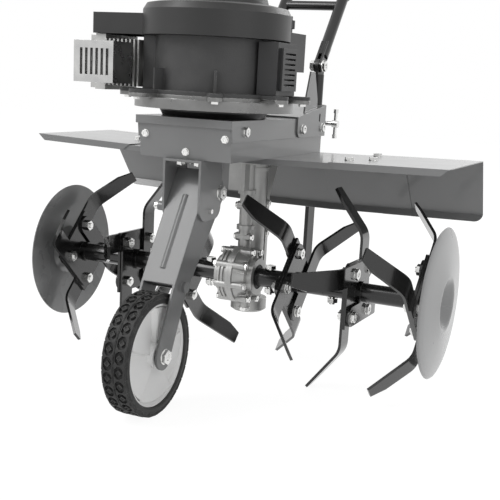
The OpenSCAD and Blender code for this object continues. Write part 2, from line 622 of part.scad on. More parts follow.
module worm_shaft() color([0.7, 0.7, 0.7]) seat() translate([0, worm_y, 0]) {
    zcyl(7.5, worm_low - 2, pulley_hi + 4);
    zcyl(10, worm_low + 12.5, -34);
    zcyl(10, 34, worm_top - 0.5);
    for (z = [-36, 30]) zcyl(worm_r + 0.7, z, z + 6);
    translate([0, 0, -31]) rotate(90 + 360 * 31 / worm_lead) linear_extrude(height = 62,
        twist = 360 * 62 / worm_lead, slices = 72, $fn = 18)
        translate([worm_amp, 0]) circle(worm_pitch_r, $fn = 18);
}
module v_pulley(r, y) seat() translate([0, y, 0]) difference() {
    rotate_extrude() polygon([[7.5, pulley_lo], [r + 9, pulley_lo], [r + 9, pulley_lo + 2],
        [r, belt_z - 4], [r, belt_z + 4], [r + 9, pulley_hi - 2], [r + 9, pulley_hi],
        [7.5, pulley_hi]]);
    translate([0, 0, pulley_hi - 5]) rotate_extrude() translate([13, 0]) square([max(r - 19, 1), 9]);
}
module input_pulley() color([0.6, 0.6, 0.6]) v_pulley(input_groove_r, worm_y);
module worm_wheel() color([0.75, 0.6, 0.25]) seat() rotate([0, 90, 0]) difference() {
    union() {
        linear_extrude(18, center = true) {
            circle(wheel_pitch_r - 3.2);
            for (k = [0 : wheel_teeth - 1]) rotate(k * 360 / wheel_teeth + 90) polygon([
                [25, -3], [wheel_pitch_r + 1, -1.1], [wheel_pitch_r + 1, 1.1], [25, 3]]);
        }
        cylinder(r = 20, h = 27, center = true);
    }
    cylinder(d = shaft_d, h = 60, center = true);
}
pin_x = [62, 186];
module output_shaft() color([0.7, 0.7, 0.7]) seat() difference() {
    xcyl(shaft_d / 2, -204, 204);
    for (x = pin_x, s = [-1, 1]) zcyl(5, -40, 40, s * x, 0);
}
belt_len = worm_y + engine_ahead;
module belt_outline(d) {
    ra = drive_groove_r + d;
    rb = input_groove_r + d;
    tilt = asin((rb - ra) / belt_len);
    translate([0, ec]) circle(ra);
    translate([0, worm_y]) circle(rb);
    polygon([[ra * cos(tilt), ec - ra * sin(tilt)], [rb * cos(tilt), worm_y - rb * sin(tilt)],
        [-rb * cos(tilt), worm_y - rb * sin(tilt)], [-ra * cos(tilt), ec - ra * sin(tilt)]]);
}
module drive_belt() color([0.05, 0.05, 0.05]) seat() translate([0, 0, belt_z - 3.5])
    linear_extrude(7) difference() { belt_outline(6.5); belt_outline(gap); }
idler_c = [-half + 25, -46];
module idler_arm() color([0.2, 0.2, 0.2]) seat() {
    difference() {
        translate([0, 0, case_floor + 9 + gap]) linear_extrude(4) {
            polygon([idler_pivot + [10, 0], idler_c + [10, 0], idler_c + [-10, 0],
                idler_pivot + [-10, 0]]);
            translate(idler_pivot) circle(10);
            translate(idler_c) circle(10);
        }
        zcyl(4 + run, case_floor, case_floor + 20, idler_pivot.x, idler_pivot.y);
    }
    zcyl(4, case_floor + 12, belt_z + 11, idler_c.x, idler_c.y);
    zcyl(6, belt_z + 9, belt_z + 12, idler_c.x, idler_c.y);
}
module idler_pulley() color([0.5, 0.5, 0.5]) seat() translate([idler_c.x, idler_c.y, 0])
    rotate_extrude() polygon([[4 + run, belt_z - 8], [idler_r + 2, belt_z - 8],
        [idler_r + 2, belt_z - 6], [idler_r, belt_z - 5], [idler_r, belt_z + 5],
        [idler_r + 2, belt_z + 6], [idler_r + 2, belt_z + 8], [4 + run, belt_z + 8]]);
// rotor
star_x = [inner_star_x, mid_star_x, outer_star_x];
star_phase = [45, 0, 46];
star_side = [1, 1, -1];
// Bend of the four tines of each right hand star, outward 1, inward -1
star_bend = [[1, -1, 1, -1], [-1, -1, -1, -1], [-1, -1, -1, -1]];
module flange(x) difference() {
    translate([x - flange_t / 2, -flange_side / 2, -flange_side / 2])
        cube([flange_t, flange_side, flange_side]);
    for (y = [-1, 1], z = [-1, 1])
        xcyl(5 + hole, x - 9, x + 9, y * bolt_off, z * bolt_off);
}
module turned_star(i) rotate([star_phase[i], 0, 0]) children();
module inner_rotor_tubes() color([0.05, 0.05, 0.05]) seat() pair() difference() {
    union() {
        xcyl(tube_d / 2, boss_out + 2, 172);
        turned_star(0) flange(star_x[0]);
        xcyl(tube_d / 2 + 2.5, star_x[0] - 12, star_x[0] + 12);
    }
    xcyl(shaft_d / 2, 0, 300);
    zcyl(5, -40, 40, pin_x[0], 0);
}
module outer_rotor_tubes() color([0.05, 0.05, 0.05]) seat() pair() difference() {
    union() {
        xcyl(tube_d / 2, 172 + gap, 370);
        for (i = [1, 2]) {
            turned_star(i) flange(star_x[i]);
            xcyl(tube_d / 2 + 2.5, star_x[i] - 12, star_x[i] + 12);
        }
    }
    xcyl(shaft_d / 2, 0, 204 + gap);
    xcyl(shaft_d / 2, 200, 350);
    xcyl(5, 300, 380);
    zcyl(5, -40, 40, pin_x[1], 0);
}
module rotor_pins() color([0.75, 0.75, 0.7]) seat() for (x = pin_x, s = [-1, 1])
    translate([s * x, 0, tube_d / 2 + 1.4]) bolt(10, tube_d + 14, tube_d + 2.8);
tine_mid_r = tine_bend_r + tine_t;
tine_rise = tine_knee + tine_mid_r * sin(tine_bend);
blade_len = (axle_h - tine_rise) / cos(tine_bend);
tine_steps = 6;
// Side profile of a tine: shank, bend and blade, from face x = 0 to face x = tine_t
function tine_bend_line(r) = [for (k = [0 : tine_steps]) let(a = tine_bend * k / tine_steps)
    [tine_mid_r - r * cos(a), tine_knee + r * sin(a)]];
function tine_end(r) = [tine_mid_r - r * cos(tine_bend) + blade_len * sin(tine_bend),
    tine_knee + r * sin(tine_bend) + blade_len * cos(tine_bend)];
tine_profile = concat([[0, -bolt_off - tine_base_w]], tine_bend_line(tine_mid_r),
    [tine_end(tine_mid_r), tine_end(tine_bend_r)], turned(tine_bend_line(tine_bend_r)),
    [[tine_t, -bolt_off - tine_base_w]]);
// One tine lying on the face of a flange, running up, its blade leaning toward +X
module tine() difference() {
    bw = tine_base_w / 2;
    tw = tine_tip_w / 2;
    intersection() {
        xz(-bw - 1, 2 * bw + 2) polygon(tine_profile);
        yz(-1, 90) {
            polygon([[-bw, -bolt_off], [bw, -bolt_off], [bw, tine_knee], [tw, axle_h],
                [-tw + 8, axle_h], [-bw + 1, axle_h - 24], [-bw, tine_knee]]);
            translate([0, -bolt_off]) circle(bw);
        }
    }
    for (z = [-1, 1]) xcyl(5 + hole, -5, 20, 0, z * bolt_off);
}
module star(i) turned_star(i) for (k = [0 : 3]) {
    // tines 0 and 2 lie on the outer face, 1 and 3 on the inner one
    outer = k % 2 == 0;
    b = star_bend[i][k];
    x0 = star_x[i] + (outer ? flange_t / 2 : -flange_t / 2);
    rotate([90 * k - 90, 0, 0]) translate([x0, star_side[i] * bolt_off, 0])
        if (b > 0) translate([outer ? 0 : -tine_t, 0, 0]) tine();
        else mirror([1, 0, 0]) translate([outer ? -tine_t : 0, 0, 0]) tine();
}
module inner_tines() color([0.05, 0.05, 0.05]) seat() pair() star(0);
module middle_tines() color([0.05, 0.05, 0.05]) seat() pair() star(1);
module outer_tines() color([0.05, 0.05, 0.05]) seat() pair() star(2);
module rotor_bolts() color([0.75, 0.75, 0.7]) seat() pair() { for (i = [0 : 2]) turned_star(i)
    for (y = [-1, 1], z = [-1, 1]) bolt_x(star_x[i] + flange_t / 2 + tine_t, y * bolt_off,
        z * bolt_off, 10, flange_t + 2 * tine_t + 11, flange_t + 2 * tine_t);
    bolt_x(disc_x - 12.5, 0, 0, 10, 22);
}
module disc() seat() translate([disc_x, 0, 0]) rotate([0, 90, 0]) rotate_extrude($fn = 128)
    polygon([[5 + hole, -15], [24, -15], [36, -6], [100, -3.5], [disc_r - 6, -2.5], [disc_r, -6],
    [disc_r, -1], [disc_r - 4, 0], [100, -1], [35, -3.5], [23, -12.5], [5 + hole, -12.5]]);
module disc_left() color([0.55, 0.55, 0.52]) mirror([1, 0, 0]) disc();
module disc_right() color([0.55, 0.55, 0.52]) disc();
// engine
sump_bolt_a = [18, 62, 118, 162, 198, 242, 298, 342];
module at_engine() seat() translate([0, ec, 0]) children();
module engine_sump() color([0.6, 0.6, 0.6]) at_engine() difference() {
    union() {
        zcyl(132, ring_top, sump_top);
        zcyl(118, sump_top - 1, sump_top + 6);
        zcyl(24, case_top - 2, sump_top + 12);
        for (a = sump_bolt_a) rotate(a) translate([0, 0, sump_top]) {
            translate([100, -13, 0]) cube([48, 26, 6]);
            zcyl(13, 0, 6, 148, 0);
        }
        for (a = engine_bolt_a) rotate(a) zcyl(11, ring_top, sump_top + 8, engine_bolt_pcd / 2, 0);
    }
    difference() {
        zcyl(110, ring_top + 5, sump_top + 20);
        zcyl(24, ring_top, sump_top + 30);
        for (a = engine_bolt_a) rotate(a) zcyl(11, ring_top, sump_top + 8, engine_bolt_pcd / 2, 0);
        for (a = [0 : 45 : 135]) rotate(a) translate([-112, -2, ring_top]) cube([224, 4, 16]);
    }
    zcyl(12.5 + run, case_top - 5, sump_top + 30);
    for (a = engine_bolt_a) rotate(a)
        zcyl(4, ring_top - 1, ring_top + 18, engine_bolt_pcd / 2, 0);
    for (a = sump_bolt_a) rotate(a) zcyl(3 + hole, sump_top - 5, sump_top + 9, 148, 0);
}
module engine_bolts() color([0.75, 0.75, 0.7]) at_engine() {
    for (a = engine_bolt_a) rotate(a) translate([engine_bolt_pcd / 2, 0, case_top - sheet])
        rotate([180, 0, 0]) bolt(8, 30);
    for (a = sump_bolt_a) rotate(a) translate([148, 0, sump_top]) rotate([180, 0, 0]) bolt(6, 12);
}
crank_lo = sump_top + 6;
crank_hi = crank_lo + 92;
module crankcase() color([0.12, 0.12, 0.12]) at_engine() difference() {
    union() {
        zcyl(118, crank_lo, crank_lo + 6);
        for (a = sump_bolt_a) rotate(a) {
            translate([100, -13, crank_lo]) cube([48, 26, 6]);
            zcyl(13, crank_lo, crank_lo + 6, 148, 0);
        }
        zcyl(100, crank_lo, crank_hi);
        for (a = [62, 118, 242, 298]) rotate(a) translate([94, -2, crank_lo]) cube([24, 4, 40]);
        translate([-112, -46, crank_lo]) cube([60, 92, 92]);
        zcyl(22, crank_hi - 8, crank_hi + 10);
    }
    difference() {
        zcyl(94, crank_lo - 1, crank_hi - 6);
        zcyl(22, crank_hi - 16, crank_hi);
        for (a = [22.5 : 45 : 157.5]) rotate(a)
            translate([-96, -2, crank_hi - 18]) cube([192, 4, 18]);
    }
    zcyl(12.5 + run, crank_lo, crank_hi + 20);
    xcyl(34, -130, -60, 0, crank_lo + 46);
    for (a = sump_bolt_a) rotate(a) zcyl(3, crank_lo - 1, crank_lo + 8, 148, 0);
}
module cylinder_fins(x0, n, w, h) for (i = [0 : n - 1])
    translate([x0 - i * 8 - 3, -w / 2, crank_lo + 46 - h / 2]) cube([3, w, h]);
module engine_cylinder() color([0.6, 0.6, 0.6]) at_engine() difference() {
    union() {
        xcyl(39, -186, -112, 0, crank_lo + 46);
        cylinder_fins(-116, 9, 108, 76);
        translate([-204, -50, crank_lo]) cube([20, 100, 92]);
        for (y = [-36 : 12 : 36]) translate([-222, y - 1.5, crank_lo + 2]) cube([19, 3, 88]);
        xcyl(9, -240, -203, 0, crank_lo + 46);
        xcyl(6, -252, -239, 0, crank_lo + 46);
    }
    xcyl(34, -190, -100, 0, crank_lo + 46);
}
module muffler() color([0.6, 0.6, 0.6]) at_engine() {
    difference() {
        union() {
            translate([-196, -124, crank_lo + 12]) cube([76, 54, 66]);
            ycyl(12, -71, -54, -150, crank_lo + 46);
        }
        translate([-193, -121, crank_lo + 15]) cube([70, 48, 60]);
        for (x = [-184 : 10 : -134]) translate([x, -126, crank_lo + 24]) cube([5, 8, 42]);
    }
}
module air_cleaner() color([0.75, 0.75, 0.73]) at_engine() difference() {
    union() {
        translate([97, -42, crank_lo + 6.5]) cube([34, 74, 82]);
        xcyl(13, 90, 98, -5, crank_lo + 46);
        translate([131, -34, crank_lo + 14]) cube([6, 58, 66]);
    }
    translate([104, -38, crank_lo + 10]) cube([24, 66, 75]);
    zcyl(100 + gap, crank_lo, crank_hi + 5);
    for (z = [22 : 8 : 70]) translate([130, -26, crank_lo + z]) cube([9, 42, 3]);
}
blow_lo = crank_hi;
blow_hi = blow_lo + 72;
handle_stem_r = 6.2;
module blower_housing() color([0.5, 0.08, 0.06]) at_engine() difference() {
    union() {
        translate([0, 0, blow_lo]) rotate_extrude() polygon([[96, 0], [122, 0], [122, 40],
            [116, 50], [96, 54], [84, 54], [80, 68], [72, 72], [0, 72], [0, 68], [70, 68],
            [76, 65], [80, 50], [95, 49], [112, 46], [118, 38], [118, 4], [96, 4]]);
        translate([-206, -56, blow_lo + 0.5]) cube([110, 112, 34]);
    }
    zcyl(96, blow_lo - 1, blow_lo + 46);
    translate([-203, -53, blow_lo - 1]) cube([150, 106, 32]);
    for (a = [0 : 15 : 345]) rotate(a) translate([26, -2, blow_hi - 8]) cube([40, 4, 12]);
    translate([-handle_stem_r - gap, 64, blow_hi - 9.5 - handle_stem_r - gap])
        cube([2 * handle_stem_r + 2 * gap, 30, 2 * handle_stem_r + 2 * gap]);
}
module starter_handle() color([0.06, 0.06, 0.06]) at_engine() {
    ycyl(handle_stem_r, 72, 96, 0, blow_hi - 9.5);
    xcyl(8, -36, 36, 104, blow_hi - 9.5);
    ycyl(7, 94, 104, 0, blow_hi - 9.5);
}
tank_y = [124, 196];
module fuel_tank() color([0.06, 0.06, 0.06]) at_engine() difference() {
    union() {
        translate([-78, tank_y[0], blow_lo - 46]) cube([156, tank_y[1] - tank_y[0], 66]);
        zcyl(24, blow_lo + 16, blow_lo + 28, 40, 160);
        for (s = [-1, 1]) translate([s * 58 - 12, 66, blow_lo - 6]) cube([24, 60, 5]);
    }
    translate([-75, tank_y[0] + 3, blow_lo - 43]) cube([150, tank_y[1] - tank_y[0] - 6, 60]);
    zcyl(19, blow_lo + 10, blow_lo + 40, 40, 160);
    zcyl(100 + gap, blow_lo - 40, blow_lo + 0.1);
}
module fuel_cap() color([0.05, 0.05, 0.05]) at_engine() translate([40, 160, blow_lo + 28 + gap])
difference() {
    union() {
        cylinder(r = 28, h = 14);
        translate([0, 0, -14]) cylinder(r = 19 - run, h = 15);
        translate([-24, -4, 14]) cube([48, 8, 7]);
    }
    for (a = [0 : 30 : 330]) rotate(a) translate([29.5, 0, -1]) cylinder(r = 3.2, h = 16);
}
module crankshaft() color([0.7, 0.7, 0.7]) at_engine() {
    zcyl(12.5, pulley_lo - 4, blow_lo + 34);
    zcyl(40, crank_lo + 20, crank_lo + 32);
    zcyl(40, crank_lo + 54, crank_lo + 66);
    zcyl(13, crank_lo + 30, crank_lo + 56, 24, 0);
}
module flywheel() color([0.45, 0.45, 0.45]) at_engine() difference() {
    union() {
        zcyl(90, blow_lo + 12, blow_lo + 24);
        zcyl(26, blow_lo + 12, blow_lo + 34);
        for (a = [0 : 20 : 340]) rotate(a) translate([62, -2, blow_lo + 23]) cube([24, 3, 15]);
    }
    zcyl(12.5, blow_lo, blow_lo + 50);
}
module drive_pulley() color([0.6, 0.6, 0.6]) at_engine() difference() {
    rotate_extrude() polygon([[12.5, pulley_lo], [drive_groove_r + 9, pulley_lo],
        [drive_groove_r + 9, pulley_lo + 2], [drive_groove_r, belt_z - 4],
        [drive_groove_r, belt_z + 4], [drive_groove_r + 9, pulley_hi - 2],
        [drive_groove_r + 9, pulley_hi], [12.5, pulley_hi]]);
}
// handlebar
function up_bar(s, x, d) = [s * x, bar_piv.y + d * cos(bar_slope), bar_piv.z + d * sin(bar_slope)];
function on_grip(s, d) = up_bar(s, grip_x, grip_at)
    + [0, d * cos(grip_slope), d * sin(grip_slope)];
lever_at = 66;
lever_low = 26;
module bar_tubes(r, more) {
    for (s = [-1, 1]) run_through([up_bar(s, bar_foot_x, 22 - more), up_bar(s, bar_foot_x, bar_low),
        up_bar(s, grip_x, grip_at), on_grip(s, grip_run + more)], r);
}
module handlebar() color([0.06, 0.06, 0.06]) seat() difference() {
    union() {
        difference() {
            union() {
                bar_tubes(bar_r, 0);
                run_through([up_bar(-1, bar_foot_x, 150), up_bar(1, bar_foot_x, 150)], bar_r - 2);
                run_through([up_bar(-1, grip_x - 24, grip_at - 34),
                    up_bar(1, grip_x - 24, grip_at - 34)], bar_r - 2);
            }
            bar_tubes(bar_r - 1.8, 5);
        }
        pair() {
            for (x = [3 + gap, -7 - gap]) yz(bar_foot_x + x, 4)
                translate([bar_piv.y, bar_piv.z]) rotate(bar_slope) {
                    circle(12);
                    translate([0, -11]) square([52, 22]);
                }
        }
        // two ears under the left grip tube that carry the lever
        for (x = [4, -7]) translate([-grip_x + x, 0, 0]) yz(0, 3) lever_ear();
        translate(on_grip(-1, lever_at)) rotate([grip_slope, 0, 0])
            translate([0, 0, -bar_r - lever_low]) xcyl(3, -5.5, 5.5);
    }
    pair() xcyl(5 + run, bar_foot_x - 9, bar_foot_x + 9, bar_piv.y, bar_piv.z);
}
module lever_ear() {
    c = on_grip(-1, lever_at);
    translate([c.y, c.z]) rotate(grip_slope) {
        translate([-9, -bar_r - lever_low]) square([18, lever_low + 2]);
        translate([0, -bar_r - lever_low]) circle(9);
    }
}
module hand_grips() color([0.04, 0.04, 0.04]) seat() for (s = [-1, 1])
    translate(on_grip(s, grip_run - grip_len)) rotate([grip_slope - 90, 0, 0]) difference() {
        union() {
            cylinder(r = bar_r + 5, h = grip_len + 5);
            cylinder(r = bar_r + 9, h = 6);
        }
        translate([0, 0, -1]) cylinder(r = bar_r, h = grip_len + 1);
        for (z = [16 : 10 : grip_len - 4]) translate([0, 0, z]) rotate_extrude()
            translate([bar_r + 4, 0]) square([3, 4]);
    }
module clutch_lever() color([0.55, 0.05, 0.04]) seat() translate(on_grip(-1, lever_at))
    rotate([grip_slope, 0, 0]) translate([0, 0, -bar_r - lever_low]) difference() {
        yz(-3.5, 7) {
            circle(8);
            polygon([[0, -7], [60, -17], [150, -19], [154, -14], [150, -9], [60, -7], [0, 7]]);
            polygon([[-7, 0], [-12, -26], [-6, -30], [2, -26], [6, -4]]);
        }
        xcyl(3 + run, -9, 9);
        xcyl(2, -9, 9, -7, -24);
    }
upper_tray();
belt_cover();
case_bolts();
engine_mount_ring();
rear_bracket();
handle_posts();
handle_bolts();
drag_bracket();
drag_bar();
drag_screw();
tine_guard();
guard_extension_left();
guard_extension_right();
guard_bolts();
wheel_bracket();
arm_pivot_bolt();
wheel_arm();
wheel_bush();
wheel_axle_bolt();
wheel_lock_pin();
wheel_hub();
tyre();
gearcase_left();
gearcase_right();
gearcase_bolts();
worm_bearings();
output_bearings();
output_seals();
worm_shaft();
input_pulley();
worm_wheel();
output_shaft();
drive_belt();
idler_arm();
idler_pulley();
inner_rotor_tubes();
outer_rotor_tubes();
rotor_pins();
inner_tines();
middle_tines();
outer_tines();
rotor_bolts();
disc_left();
disc_right();
engine_sump();
engine_bolts();
crankcase();
engine_cylinder();
muffler();
air_cleaner();
blower_housing();
fuel_tank();
fuel_cap();
crankshaft();
flywheel();
drive_pulley();
starter_handle();
handlebar();
hand_grips();
clutch_lever();
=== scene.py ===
import math
import bpy
from mathutils import Matrix, Vector


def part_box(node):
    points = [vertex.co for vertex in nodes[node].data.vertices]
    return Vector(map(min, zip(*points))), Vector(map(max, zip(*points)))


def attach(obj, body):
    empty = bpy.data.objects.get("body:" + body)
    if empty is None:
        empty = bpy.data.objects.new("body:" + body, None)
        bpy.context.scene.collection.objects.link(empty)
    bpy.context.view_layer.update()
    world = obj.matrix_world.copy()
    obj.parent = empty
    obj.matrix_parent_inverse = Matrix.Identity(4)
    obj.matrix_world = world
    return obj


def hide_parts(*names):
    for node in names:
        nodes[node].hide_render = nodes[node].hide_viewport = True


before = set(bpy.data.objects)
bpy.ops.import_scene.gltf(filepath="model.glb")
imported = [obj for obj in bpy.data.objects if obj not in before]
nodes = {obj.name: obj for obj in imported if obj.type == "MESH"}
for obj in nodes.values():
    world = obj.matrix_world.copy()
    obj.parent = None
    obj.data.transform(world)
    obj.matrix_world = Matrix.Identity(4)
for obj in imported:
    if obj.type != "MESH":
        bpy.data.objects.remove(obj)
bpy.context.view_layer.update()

scene = bpy.context.scene

WELD = 0.00001                        # corners closer than this are one corner
AXLE = Vector((1, 0, 0))              # the wheel and the discs turn about the machine's x
UP = Vector((0, 0, 1))
DUST_TONE = (0.42, 0.41, 0.39)


# Camera, at the photograph's viewing angle
def add_camera():
    bpy.ops.object.camera_add(location=(0.7594, -1.69937, 0.5370),
                              rotation=[math.radians(a) for a in (77.061, -3.017, 25.535)])
    camera = bpy.context.object
    camera.name = "camera"
    camera.data.sensor_fit = "HORIZONTAL"
    camera.data.sensor_width = 36
    camera.data.lens = 69.125
    camera.data.shift_y = 0.0944
    camera.data.clip_end = 60
    scene.camera = camera


# Shader helpers
def add(tree, kind, **settings):
    node = tree.nodes.new(kind)
    for key, value in settings.items():
        setattr(node, key, value)
    return node


def feed(tree, socket, value):
    """Links another node's socket, or sets a plain number or colour."""
    if isinstance(value, bpy.types.NodeSocket):
        tree.links.new(value, socket)
    elif isinstance(value, tuple):
        socket.default_value = (*value, 1)
    else:
        socket.default_value = value


def noise(tree, place, scale, detail, rough=0.5):
    node = add(tree, "ShaderNodeTexNoise")
    feed(tree, node.inputs["Vector"], place.outputs["Object"])
    feed(tree, node.inputs["Scale"], scale)
    feed(tree, node.inputs["Detail"], detail)
    feed(tree, node.inputs["Roughness"], rough)
    return node.outputs["Fac"]


def math_node(tree, how, a, b, clamp=False):
    node = add(tree, "ShaderNodeMath", operation=how, use_clamp=clamp)
    feed(tree, node.inputs[0], a)
    feed(tree, node.inputs[1], b)
    return node.outputs[0]


def ramp(tree, value, low, high, low_to=0.0, high_to=1.0):
    node = add(tree, "ShaderNodeMapRange", clamp=True)
    for label, source in (("Value", value), ("From Min", low), ("From Max", high),
                          ("To Min", low_to), ("To Max", high_to)):
        feed(tree, node.inputs[label], source)
    return node.outputs["Result"]


def mix_colour(tree, mask, a, b):
    node = add(tree, "ShaderNodeMix", data_type="RGBA")
    feed(tree, node.inputs["Factor"], mask)
    feed(tree, node.inputs[6], a)
    feed(tree, node.inputs[7], b)
    return node.outputs[2]


def mix_shader(tree, mask, a, b):
    node = add(tree, "ShaderNodeMixShader")
    for k, source in enumerate((mask, a, b)):
        feed(tree, node.inputs[k], source)
    return node.outputs[0]


def new_group(name, inputs, outputs):
    group = bpy.data.node_groups.new(name, "ShaderNodeTree")
    for label, value in inputs:
        made = group.interface.new_socket(name=label, in_out="INPUT",
                                          socket_type="NodeSocketFloat")
        made.default_value = value
    for label in outputs:
        group.interface.new_socket(name=label, in_out="OUTPUT", socket_type="NodeSocketFloat")
    return group, group.nodes.new("NodeGroupInput"), group.nodes.new("NodeGroupOutput")


def use_group(tree, group, **values):
    node = add(tree, "ShaderNodeGroup", node_tree=group)
    for label, number in values.items():
        node.inputs[label.replace("_", " ")].default_value = number
    return node


def new_material(name):
    material = bpy.data.materials.new(name)
    material.use_nodes = True
    tree = material.node_tree
    return material, tree, tree.nodes["Principled BSDF"]


# Worn edges: a mask where the surface turns sharply, broken up by noise
def make_edge_wear():
    group, into, out = new_group(
        "edge_wear", [("Width", 0.0012), ("Break Scale", 90.0), ("Amount", 0.6)], ["Mask"])
    place = add(group, "ShaderNodeTexCoord")
    soft = add(group, "ShaderNodeBevel", samples=4)
    feed(group, soft.inputs["Radius"], into.outputs["Width"])
    flat = add(group, "ShaderNodeNewGeometry")
    dot = add(group, "ShaderNodeVectorMath", operation="DOT_PRODUCT")
    feed(group, dot.inputs[0], soft.outputs[0])
    feed(group, dot.inputs[1], flat.outputs["Normal"])
    turned = ramp(group, dot.outputs["Value"], 0.995, 0.86)
    spots = noise(group, place, into.outputs["Break Scale"], 4.0)
    mask = math_node(group, "MULTIPLY", turned, ramp(group, spots, 0.46, 0.62))
    mask = math_node(group, "MULTIPLY", mask, into.outputs["Amount"], clamp=True)
    feed(group, out.inputs["Mask"], mask)
    return group


# Fine grain and slow mottling of a coated or cast surface
def make_grain():
    group, into, out = new_group(
        "surface_grain", [("Fine Scale", 900.0), ("Slow Scale", 9.0)], ["Slow", "Height"])
    place = add(group, "ShaderNodeTexCoord")
    fine = noise(group, place, into.outputs["Fine Scale"], 2.0)
    slow = noise(group, place, into.outputs["Slow Scale"], 5.0)
    pits = add(group, "ShaderNodeTexVoronoi")
    feed(group, pits.inputs["Scale"], into.outputs["Fine Scale"])
    feed(group, pits.inputs["Vector"], place.outputs["Object"])
    feed(group, out.inputs["Slow"], slow)
    feed(group, out.inputs["Height"],
         math_node(group, "MULTIPLY", pits.outputs["Distance"], fine))
    return group


# Dust that settles on faces that look up, thicker where the noise gathers it
def make_dust():
    group, into, out = new_group("settled_dust", [("Amount", 0.2), ("Scale", 30.0)], ["Mask"])
    place = add(group, "ShaderNodeTexCoord")
    face = add(group, "ShaderNodeNewGeometry")
    part = add(group, "ShaderNodeSeparateXYZ")
    feed(group, part.inputs[0], face.outputs["Normal"])
    facing_up = ramp(group, part.outputs["Z"], 0.2, 1.0)
    spread = ramp(group, noise(group, place, into.outputs["Scale"], 6.0), 0.35, 0.75)
    mask = math_node(group, "MULTIPLY", facing_up, spread)
    mask = math_node(group, "MULTIPLY", mask, into.outputs["Amount"], clamp=True)
    feed(group, out.inputs["Mask"], mask)
    return group


edge_wear = make_edge_wear()
surface_grain = make_grain()
settled_dust = make_dust()


# One finish: a base colour that drifts, worn edges, dust, grain in the height
def finish(name, colour, drift, rough, rough_drift, worn, wear, dust=0.12, metal=0.0, coat=0.0,
           grain=0.12, fine=900.0, slow=9.0, bevel=0.0006, specular=0.5):
    material, tree, shader = new_material(name)
    marks = use_group(tree, surface_grain, Fine_Scale=fine, Slow_Scale=slow)
    edges = use_group(tree, edge_wear, Amount=wear)
    layer = use_group(tree, settled_dust, Amount=dust)

    tone = mix_colour(tree, ramp(tree, marks.outputs["Slow"], 0.3, 0.7), colour, drift)
    tone = mix_colour(tree, edges.outputs["Mask"], tone, worn)
    tone = mix_colour(tree, layer.outputs["Mask"], tone, DUST_TONE)
    feed(tree, shader.inputs["Base Color"], tone)

    gloss = ramp(tree, marks.outputs["Slow"], 0.3, 0.7, rough - rough_drift, rough + rough_drift)
    matt = math_node(tree, "MULTIPLY", layer.outputs["Mask"], 0.5)
    feed(tree, shader.inputs["Roughness"], math_node(tree, "ADD", gloss, matt, clamp=True))
    shader.inputs["Metallic"].default_value = metal
    shader.inputs["Specular IOR Level"].default_value = specular
    shader.inputs["Coat Weight"].default_value = coat
    shader.inputs["Coat Roughness"].default_value = 0.12

    soft = add(tree, "ShaderNodeBevel", samples=4)
    soft.inputs["Radius"].default_value = bevel
    bump = add(tree, "ShaderNodeBump")
    bump.inputs["Strength"].default_value = grain
    bump.inputs["Distance"].default_value = 0.0004
    feed(tree, bump.inputs["Height"], marks.outputs["Height"])
    feed(tree, bump.inputs["Normal"], soft.outputs[0])
    feed(tree, shader.inputs["Normal"], bump.outputs[0])
    return material


# Coated sheet and black paint
bare = (0.5, 0.5, 0.49)
grey_coat = finish("grey_coat", (0.170, 0.172, 0.173), (0.192, 0.194, 0.195), 0.34, 0.05,
                   bare, 0.35, dust=0.1, coat=0.6, fine=1400.0, bevel=0.0012)
# Painted shade: the arm has the chassis's grey paint, set darker here to offset the key light it
# faces
arm_coat_with_painted_shade = finish("arm_coat_with_painted_shade", (0.135, 0.137, 0.138), (0.155, 0.157, 0.158), 0.36, 0.05,
                  bare, 0.35, dust=0.08, coat=0.3, fine=1400.0, bevel=0.0026)
# Partly the discs' own lighter grey finish, partly a painted reflection of the bright
# surroundings lifting the base colour
disc_own_coat_and_painted_reflection = finish("disc_own_coat_and_painted_reflection", (0.26, 0.262, 0.264), (0.30, 0.302, 0.304), 0.3, 0.06,
                   bare, 0.5, dust=0.04, coat=0.4, fine=1200.0, grain=0.14)
black_gloss = finish("black_gloss", (0.006, 0.006, 0.006), (0.010, 0.010, 0.010), 0.18, 0.05,
                     (0.3, 0.3, 0.29), 0.35, dust=0.03, coat=0.5, specular=0.35, fine=1100.0,
                     grain=0.1)
black_satin = finish("black_satin", (0.012, 0.012, 0.012), (0.018, 0.018, 0.018), 0.42, 0.06,
                     (0.25, 0.25, 0.25), 0.3, dust=0.1, coat=0.05, grain=0.2)

# Metals
zinc = finish("zinc_plate", (0.74, 0.74, 0.73), (0.84, 0.84, 0.83), 0.24, 0.07,
              (0.8, 0.8, 0.79), 0.5, dust=0.03, metal=1.0, fine=700.0, slow=60.0, bevel=0.0003)
steel = finish("turned_steel", (0.48, 0.48, 0.48), (0.58, 0.58, 0.57), 0.3, 0.08,
               (0.75, 0.75, 0.75), 0.4, dust=0.03, metal=1.0, fine=800.0, slow=40.0,
               bevel=0.0003)
cast_alloy = finish("cast_alloy", (0.40, 0.40, 0.395), (0.52, 0.52, 0.51), 0.46, 0.08,
                    (0.8, 0.8, 0.79), 0.6, metal=0.75, fine=520.0, slow=26.0, grain=0.5,
                    bevel=0.0012)
sump_alloy = finish("sump_alloy", (0.19, 0.19, 0.188), (0.25, 0.25, 0.247), 0.32, 0.08,
                    (0.8, 0.8, 0.79), 0.6, metal=0.7, fine=520.0, slow=26.0, grain=0.45,
                    bevel=0.0012)
dark_cast = finish("dark_cast", (0.035, 0.035, 0.036), (0.055, 0.055, 0.055), 0.45, 0.08,
                   (0.3, 0.3, 0.3), 0.5, dust=0.1, fine=520.0, slow=26.0, grain=0.5,
                   bevel=0.0012)
bronze = finish("bronze", (0.55, 0.36, 0.14), (0.62, 0.42, 0.18), 0.34, 0.07,
                (0.8, 0.6, 0.3), 0.5, metal=1.0, slow=40.0)
iron = finish("machined_iron", (0.13, 0.13, 0.13), (0.2, 0.2, 0.2), 0.42, 0.08,
              (0.5, 0.5, 0.5), 0.5, metal=0.9, slow=40.0, grain=0.3)

